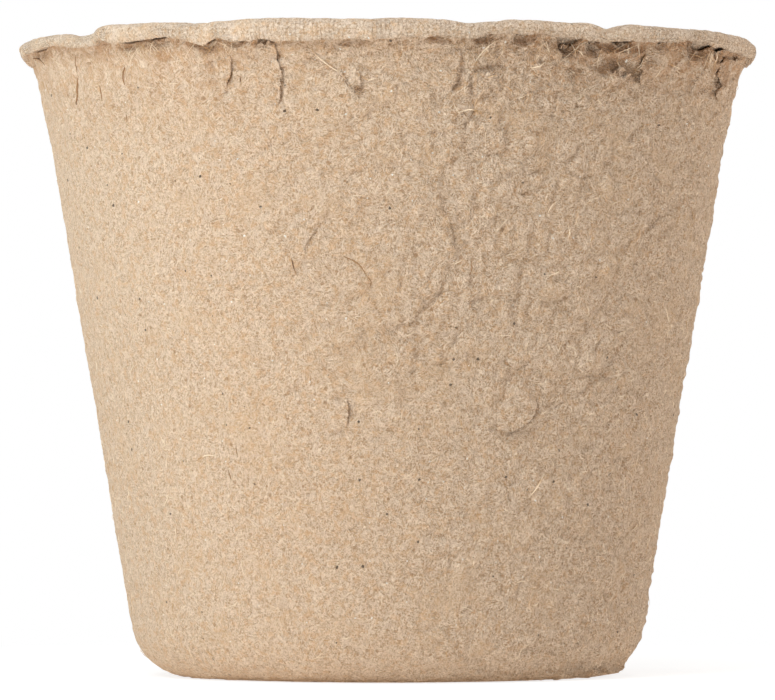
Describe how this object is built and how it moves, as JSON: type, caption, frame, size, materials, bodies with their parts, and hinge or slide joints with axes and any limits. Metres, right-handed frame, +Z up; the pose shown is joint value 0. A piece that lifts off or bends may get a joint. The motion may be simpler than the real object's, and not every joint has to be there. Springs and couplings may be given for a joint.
{
  "type": "peat pot",
  "caption": "Round tapered plant pot of moulded peat and pulp, with a flared uneven lip, rough flaked outside, rounded heel and drain hole; holds soil and a seedling.",
  "frame": {"origin": "centre of the underside of the floor, where the pot stands", "axes": "+Z up along the pot's axis, -Y towards the viewer, +X to the viewer's right"},
  "size_m": [0.1094, 0.1095, 0.0942],
  "materials": {
    "felt_side": "rough fibrous pulp, matt, with dark specks",
    "screen_side": "matt pulp with fine woven marks of the forming screen",
    "lip_pulp": "matt pulp, screen-marked on top, torn at the edge",
    "floor_pulp": "rough fibrous pulp, matt",
    "flake_pulp": "rough fibrous pulp, matt",
    "fibre": "matt plant fibre"
  },
  "bodies": {
    "root": {"back_flakes": "flake_pulp", "chip_low": "flake_pulp", "coarse_fibres": "fibre", "flake_centre_low": "flake_pulp", "flake_left_high": "flake_pulp", "flake_right_high": "flake_pulp", "flake_right_low": "flake_pulp", "flake_right_mid": "flake_pulp", "flake_top_right": "flake_pulp", "flap_far_right": "flake_pulp", "flap_right": "flake_pulp", "flap_top_centre": "flake_pulp", "flap_top_left": "flake_pulp", "floor": "floor_pulp", "fold_top_centre": "flake_pulp", "inner_ply": "screen_side", "knot_top_left": "flake_pulp", "lip": "lip_pulp", "outer_ply": "felt_side", "ridge_centre": "flake_pulp", "ridge_upper": "flake_pulp", "tuft_far_left": "flake_pulp"}
  },
  "joints": []
}
